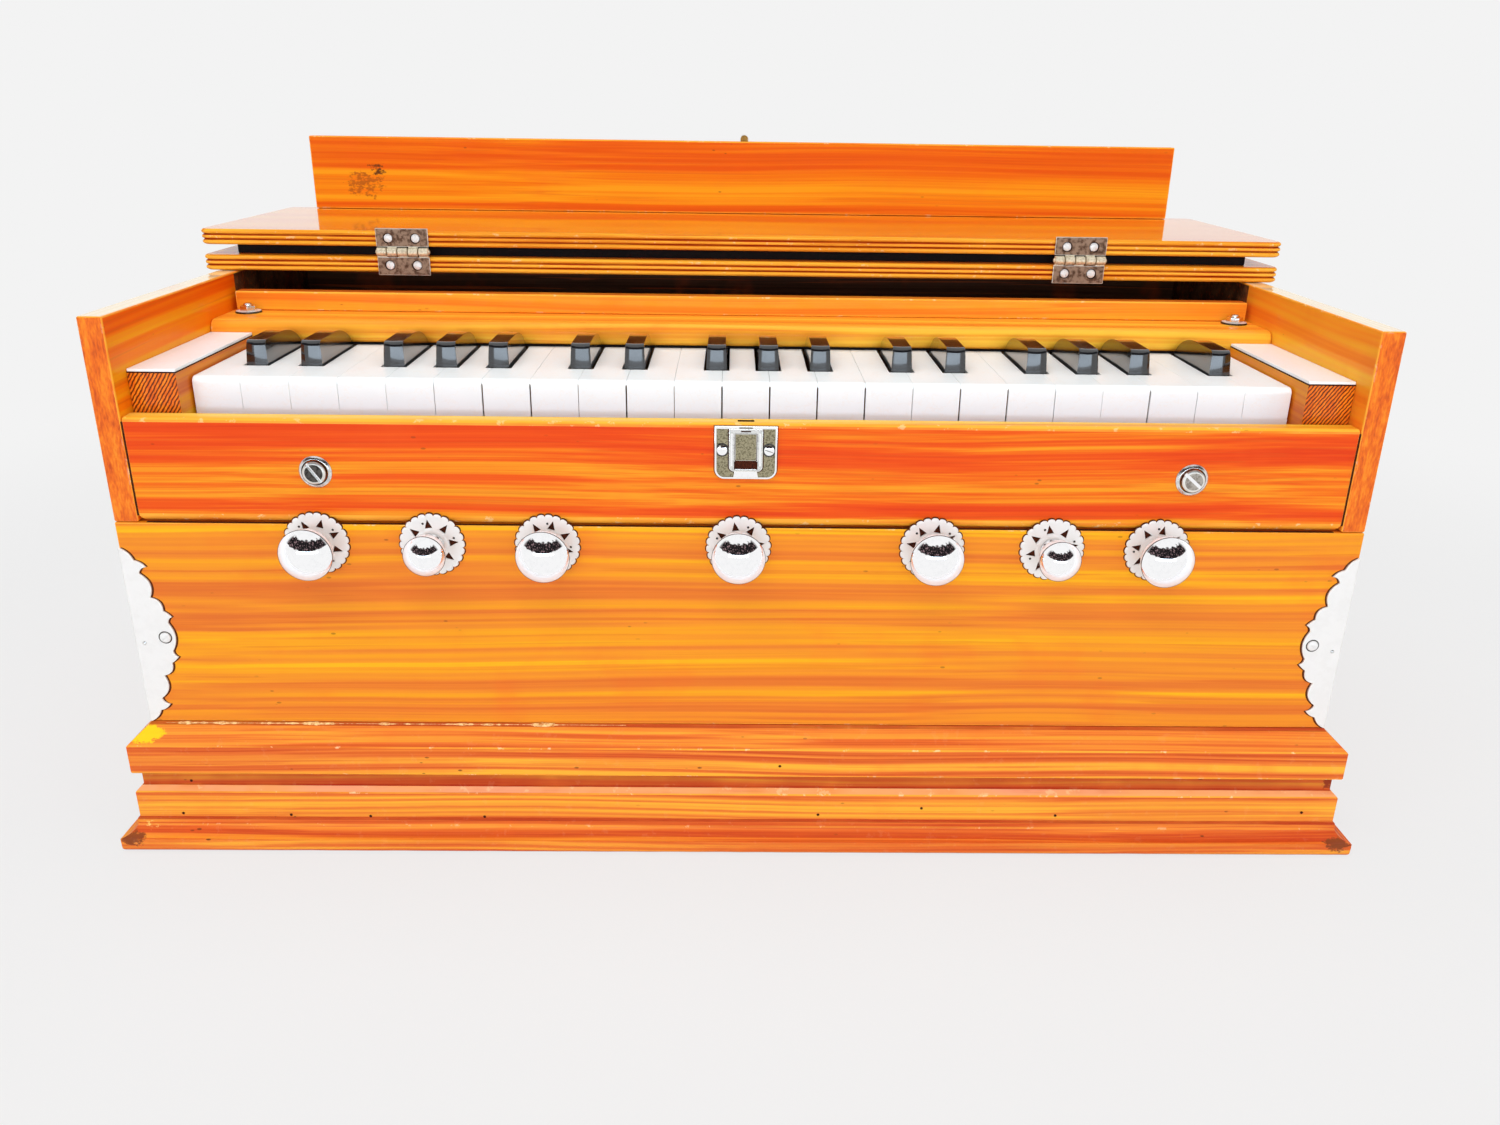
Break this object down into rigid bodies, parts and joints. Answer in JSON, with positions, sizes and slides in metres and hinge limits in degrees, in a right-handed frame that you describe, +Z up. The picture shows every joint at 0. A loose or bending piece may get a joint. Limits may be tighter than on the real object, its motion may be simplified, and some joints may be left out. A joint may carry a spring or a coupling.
{
  "type": "indian harmonium",
  "caption": "Hand-pumped Indian harmonium with a folding lid, sprung keys, draw stops and rear pump bellows on a moulded plinth.",
  "frame": {"origin": "on the floor, under the middle of the instrument's overall box", "axes": "+X to the player's right along the keyboard, +Y from the player to the pump bellows at the back, +Z up"},
  "size_m": [0.5992, 0.3374, 0.3239],
  "materials": {
    "varnished_pine": "glossy orange varnish over streaky grain",
    "plinth_pine": "worn salmon-brown varnish",
    "bare_wood": "unvarnished, dark inside",
    "chrome": "polished plating",
    "nickel": "aged nickel plating",
    "ivory_white": "white covering, lightly worn",
    "ebony_black": "polished black",
    "bellows_cloth": "brown bellows leather and cloth"
  },
  "bodies": {
    "case": {"base_plinth": "plinth_pine", "left_cheek": "varnished_pine", "right_cheek": "varnished_pine", "stop_board": "varnished_pine", "key_slip": "varnished_pine", "catch_plate": "nickel", "left_end_block": "varnished_pine", "right_end_block": "varnished_pine", "key_rail": "varnished_pine", "wind_chest": "bare_wood", "top_board": "varnished_pine", "bellows_folds": "bellows_cloth"},
    "lid": {"lid": "varnished_pine"},
    "bellows_board": {"bellows_board": "varnished_pine"},
    "draw_stop_1": {"draw_stop_1": "chrome"},
    "draw_stop_2": {"draw_stop_2": "chrome"},
    "draw_stop_3": {"draw_stop_3": "chrome"},
    "draw_stop_4": {"draw_stop_4": "chrome"},
    "draw_stop_5": {"draw_stop_5": "chrome"},
    "draw_stop_6": {"draw_stop_6": "chrome"},
    "draw_stop_7": {"draw_stop_7": "chrome"},
    "white_key_01": {"white_key_01": "ivory_white"},
    "white_key_02": {"white_key_02": "ivory_white"},
    "white_key_03": {"white_key_03": "ivory_white"},
    "white_key_04": {"white_key_04": "ivory_white"},
    "white_key_05": {"white_key_05": "ivory_white"},
    "white_key_06": {"white_key_06": "ivory_white"},
    "white_key_07": {"white_key_07": "ivory_white"},
    "white_key_08": {"white_key_08": "ivory_white"},
    "white_key_09": {"white_key_09": "ivory_white"},
    "white_key_10": {"white_key_10": "ivory_white"},
    "white_key_11": {"white_key_11": "ivory_white"},
    "white_key_12": {"white_key_12": "ivory_white"},
    "white_key_13": {"white_key_13": "ivory_white"},
    "white_key_14": {"white_key_14": "ivory_white"},
    "white_key_15": {"white_key_15": "ivory_white"},
    "white_key_16": {"white_key_16": "ivory_white"},
    "white_key_17": {"white_key_17": "ivory_white"},
    "white_key_18": {"white_key_18": "ivory_white"},
    "white_key_19": {"white_key_19": "ivory_white"},
    "white_key_20": {"white_key_20": "ivory_white"},
    "white_key_21": {"white_key_21": "ivory_white"},
    "white_key_22": {"white_key_22": "ivory_white"},
    "white_key_23": {"white_key_23": "ivory_white"},
    "black_key_01": {"black_key_01": "ebony_black"},
    "black_key_02": {"black_key_02": "ebony_black"},
    "black_key_03": {"black_key_03": "ebony_black"},
    "black_key_04": {"black_key_04": "ebony_black"},
    "black_key_05": {"black_key_05": "ebony_black"},
    "black_key_06": {"black_key_06": "ebony_black"},
    "black_key_07": {"black_key_07": "ebony_black"},
    "black_key_08": {"black_key_08": "ebony_black"},
    "black_key_09": {"black_key_09": "ebony_black"},
    "black_key_10": {"black_key_10": "ebony_black"},
    "black_key_11": {"black_key_11": "ebony_black"},
    "black_key_12": {"black_key_12": "ebony_black"},
    "black_key_13": {"black_key_13": "ebony_black"},
    "black_key_14": {"black_key_14": "ebony_black"},
    "black_key_15": {"black_key_15": "ebony_black"},
    "black_key_16": {"black_key_16": "ebony_black"}
  },
  "joints": [
    {"name": "folding_lid_hinge", "type": "hinge", "parent": "case", "child": "lid", "pos_m": [0, -0.00202, 0.26595], "axis": [1, 0, 0], "range_deg": [0, 180]},
    {"name": "bellows_hinge", "type": "hinge", "parent": "case", "child": "bellows_board", "pos_m": [0, 0.1459, 0.0695], "axis": [-1, 0, 0], "range_deg": [0, 25]},
    {"name": "draw_stop_1_slide", "type": "slide", "parent": "case", "child": "draw_stop_1", "axis": [0, -1, 0], "range_m": [0, 0.016]},
    {"name": "draw_stop_2_slide", "type": "slide", "parent": "case", "child": "draw_stop_2", "axis": [0, -1, 0], "range_m": [0, 0.016]},
    {"name": "draw_stop_3_slide", "type": "slide", "parent": "case", "child": "draw_stop_3", "axis": [0, -1, 0], "range_m": [0, 0.016]},
    {"name": "draw_stop_4_slide", "type": "slide", "parent": "case", "child": "draw_stop_4", "axis": [0, -1, 0], "range_m": [0, 0.016]},
    {"name": "draw_stop_5_slide", "type": "slide", "parent": "case", "child": "draw_stop_5", "axis": [0, -1, 0], "range_m": [0, 0.016]},
    {"name": "draw_stop_6_slide", "type": "slide", "parent": "case", "child": "draw_stop_6", "axis": [0, -1, 0], "range_m": [0, 0.016]},
    {"name": "draw_stop_7_slide", "type": "slide", "parent": "case", "child": "draw_stop_7", "axis": [0, -1, 0], "range_m": [0, 0.016]},
    {"name": "key_white_01_press", "type": "hinge", "parent": "case", "child": "white_key_01", "pos_m": [0, -0.01177, 0.2093], "axis": [1, 0, 0], "range_deg": [0, 4], "stiffness_Nm_per_rad": 0.15, "springref_deg": -20.05},
    {"name": "key_white_02_press", "type": "hinge", "parent": "case", "child": "white_key_02", "pos_m": [0, -0.01177, 0.2093], "axis": [1, 0, 0], "range_deg": [0, 4], "stiffness_Nm_per_rad": 0.15, "springref_deg": -20.05},
    {"name": "key_white_03_press", "type": "hinge", "parent": "case", "child": "white_key_03", "pos_m": [0, -0.01177, 0.2093], "axis": [1, 0, 0], "range_deg": [0, 4], "stiffness_Nm_per_rad": 0.15, "springref_deg": -20.05},
    {"name": "key_white_04_press", "type": "hinge", "parent": "case", "child": "white_key_04", "pos_m": [0, -0.01177, 0.2093], "axis": [1, 0, 0], "range_deg": [0, 4], "stiffness_Nm_per_rad": 0.15, "springref_deg": -20.05},
    {"name": "key_white_05_press", "type": "hinge", "parent": "case", "child": "white_key_05", "pos_m": [0, -0.01177, 0.2093], "axis": [1, 0, 0], "range_deg": [0, 4], "stiffness_Nm_per_rad": 0.15, "springref_deg": -20.05},
    {"name": "key_white_06_press", "type": "hinge", "parent": "case", "child": "white_key_06", "pos_m": [0, -0.01177, 0.2093], "axis": [1, 0, 0], "range_deg": [0, 4], "stiffness_Nm_per_rad": 0.15, "springref_deg": -20.05},
    {"name": "key_white_07_press", "type": "hinge", "parent": "case", "child": "white_key_07", "pos_m": [0, -0.01177, 0.2093], "axis": [1, 0, 0], "range_deg": [0, 4], "stiffness_Nm_per_rad": 0.15, "springref_deg": -20.05},
    {"name": "key_white_08_press", "type": "hinge", "parent": "case", "child": "white_key_08", "pos_m": [0, -0.01177, 0.2093], "axis": [1, 0, 0], "range_deg": [0, 4], "stiffness_Nm_per_rad": 0.15, "springref_deg": -20.05},
    {"name": "key_white_09_press", "type": "hinge", "parent": "case", "child": "white_key_09", "pos_m": [0, -0.01177, 0.2093], "axis": [1, 0, 0], "range_deg": [0, 4], "stiffness_Nm_per_rad": 0.15, "springref_deg": -20.05},
    {"name": "key_white_10_press", "type": "hinge", "parent": "case", "child": "white_key_10", "pos_m": [0, -0.01177, 0.2093], "axis": [1, 0, 0], "range_deg": [0, 4], "stiffness_Nm_per_rad": 0.15, "springref_deg": -20.05},
    {"name": "key_white_11_press", "type": "hinge", "parent": "case", "child": "white_key_11", "pos_m": [0, -0.01177, 0.2093], "axis": [1, 0, 0], "range_deg": [0, 4], "stiffness_Nm_per_rad": 0.15, "springref_deg": -20.05},
    {"name": "key_white_12_press", "type": "hinge", "parent": "case", "child": "white_key_12", "pos_m": [0, -0.01177, 0.2093], "axis": [1, 0, 0], "range_deg": [0, 4], "stiffness_Nm_per_rad": 0.15, "springref_deg": -20.05},
    {"name": "key_white_13_press", "type": "hinge", "parent": "case", "child": "white_key_13", "pos_m": [0, -0.01177, 0.2093], "axis": [1, 0, 0], "range_deg": [0, 4], "stiffness_Nm_per_rad": 0.15, "springref_deg": -20.05},
    {"name": "key_white_14_press", "type": "hinge", "parent": "case", "child": "white_key_14", "pos_m": [0, -0.01177, 0.2093], "axis": [1, 0, 0], "range_deg": [0, 4], "stiffness_Nm_per_rad": 0.15, "springref_deg": -20.05},
    {"name": "key_white_15_press", "type": "hinge", "parent": "case", "child": "white_key_15", "pos_m": [0, -0.01177, 0.2093], "axis": [1, 0, 0], "range_deg": [0, 4], "stiffness_Nm_per_rad": 0.15, "springref_deg": -20.05},
    {"name": "key_white_16_press", "type": "hinge", "parent": "case", "child": "white_key_16", "pos_m": [0, -0.01177, 0.2093], "axis": [1, 0, 0], "range_deg": [0, 4], "stiffness_Nm_per_rad": 0.15, "springref_deg": -20.05},
    {"name": "key_white_17_press", "type": "hinge", "parent": "case", "child": "white_key_17", "pos_m": [0, -0.01177, 0.2093], "axis": [1, 0, 0], "range_deg": [0, 4], "stiffness_Nm_per_rad": 0.15, "springref_deg": -20.05},
    {"name": "key_white_18_press", "type": "hinge", "parent": "case", "child": "white_key_18", "pos_m": [0, -0.01177, 0.2093], "axis": [1, 0, 0], "range_deg": [0, 4], "stiffness_Nm_per_rad": 0.15, "springref_deg": -20.05},
    {"name": "key_white_19_press", "type": "hinge", "parent": "case", "child": "white_key_19", "pos_m": [0, -0.01177, 0.2093], "axis": [1, 0, 0], "range_deg": [0, 4], "stiffness_Nm_per_rad": 0.15, "springref_deg": -20.05},
    {"name": "key_white_20_press", "type": "hinge", "parent": "case", "child": "white_key_20", "pos_m": [0, -0.01177, 0.2093], "axis": [1, 0, 0], "range_deg": [0, 4], "stiffness_Nm_per_rad": 0.15, "springref_deg": -20.05},
    {"name": "key_white_21_press", "type": "hinge", "parent": "case", "child": "white_key_21", "pos_m": [0, -0.01177, 0.2093], "axis": [1, 0, 0], "range_deg": [0, 4], "stiffness_Nm_per_rad": 0.15, "springref_deg": -20.05},
    {"name": "key_white_22_press", "type": "hinge", "parent": "case", "child": "white_key_22", "pos_m": [0, -0.01177, 0.2093], "axis": [1, 0, 0], "range_deg": [0, 4], "stiffness_Nm_per_rad": 0.15, "springref_deg": -20.05},
    {"name": "key_white_23_press", "type": "hinge", "parent": "case", "child": "white_key_23", "pos_m": [0, -0.01177, 0.2093], "axis": [1, 0, 0], "range_deg": [0, 4], "stiffness_Nm_per_rad": 0.15, "springref_deg": -20.05},
    {"name": "key_black_01_press", "type": "hinge", "parent": "case", "child": "black_key_01", "pos_m": [0, -0.01177, 0.2093], "axis": [1, 0, 0], "range_deg": [0, 4], "stiffness_Nm_per_rad": 0.15, "springref_deg": -20.05},
    {"name": "key_black_02_press", "type": "hinge", "parent": "case", "child": "black_key_02", "pos_m": [0, -0.01177, 0.2093], "axis": [1, 0, 0], "range_deg": [0, 4], "stiffness_Nm_per_rad": 0.15, "springref_deg": -20.05},
    {"name": "key_black_03_press", "type": "hinge", "parent": "case", "child": "black_key_03", "pos_m": [0, -0.01177, 0.2093], "axis": [1, 0, 0], "range_deg": [0, 4], "stiffness_Nm_per_rad": 0.15, "springref_deg": -20.05},
    {"name": "key_black_04_press", "type": "hinge", "parent": "case", "child": "black_key_04", "pos_m": [0, -0.01177, 0.2093], "axis": [1, 0, 0], "range_deg": [0, 4], "stiffness_Nm_per_rad": 0.15, "springref_deg": -20.05},
    {"name": "key_black_05_press", "type": "hinge", "parent": "case", "child": "black_key_05", "pos_m": [0, -0.01177, 0.2093], "axis": [1, 0, 0], "range_deg": [0, 4], "stiffness_Nm_per_rad": 0.15, "springref_deg": -20.05},
    {"name": "key_black_06_press", "type": "hinge", "parent": "case", "child": "black_key_06", "pos_m": [0, -0.01177, 0.2093], "axis": [1, 0, 0], "range_deg": [0, 4], "stiffness_Nm_per_rad": 0.15, "springref_deg": -20.05},
    {"name": "key_black_07_press", "type": "hinge", "parent": "case", "child": "black_key_07", "pos_m": [0, -0.01177, 0.2093], "axis": [1, 0, 0], "range_deg": [0, 4], "stiffness_Nm_per_rad": 0.15, "springref_deg": -20.05},
    {"name": "key_black_08_press", "type": "hinge", "parent": "case", "child": "black_key_08", "pos_m": [0, -0.01177, 0.2093], "axis": [1, 0, 0], "range_deg": [0, 4], "stiffness_Nm_per_rad": 0.15, "springref_deg": -20.05},
    {"name": "key_black_09_press", "type": "hinge", "parent": "case", "child": "black_key_09", "pos_m": [0, -0.01177, 0.2093], "axis": [1, 0, 0], "range_deg": [0, 4], "stiffness_Nm_per_rad": 0.15, "springref_deg": -20.05},
    {"name": "key_black_10_press", "type": "hinge", "parent": "case", "child": "black_key_10", "pos_m": [0, -0.01177, 0.2093], "axis": [1, 0, 0], "range_deg": [0, 4], "stiffness_Nm_per_rad": 0.15, "springref_deg": -20.05},
    {"name": "key_black_11_press", "type": "hinge", "parent": "case", "child": "black_key_11", "pos_m": [0, -0.01177, 0.2093], "axis": [1, 0, 0], "range_deg": [0, 4], "stiffness_Nm_per_rad": 0.15, "springref_deg": -20.05},
    {"name": "key_black_12_press", "type": "hinge", "parent": "case", "child": "black_key_12", "pos_m": [0, -0.01177, 0.2093], "axis": [1, 0, 0], "range_deg": [0, 4], "stiffness_Nm_per_rad": 0.15, "springref_deg": -20.05},
    {"name": "key_black_13_press", "type": "hinge", "parent": "case", "child": "black_key_13", "pos_m": [0, -0.01177, 0.2093], "axis": [1, 0, 0], "range_deg": [0, 4], "stiffness_Nm_per_rad": 0.15, "springref_deg": -20.05},
    {"name": "key_black_14_press", "type": "hinge", "parent": "case", "child": "black_key_14", "pos_m": [0, -0.01177, 0.2093], "axis": [1, 0, 0], "range_deg": [0, 4], "stiffness_Nm_per_rad": 0.15, "springref_deg": -20.05},
    {"name": "key_black_15_press", "type": "hinge", "parent": "case", "child": "black_key_15", "pos_m": [0, -0.01177, 0.2093], "axis": [1, 0, 0], "range_deg": [0, 4], "stiffness_Nm_per_rad": 0.15, "springref_deg": -20.05},
    {"name": "key_black_16_press", "type": "hinge", "parent": "case", "child": "black_key_16", "pos_m": [0, -0.01177, 0.2093], "axis": [1, 0, 0], "range_deg": [0, 4], "stiffness_Nm_per_rad": 0.15, "springref_deg": -20.05}
  ]
}
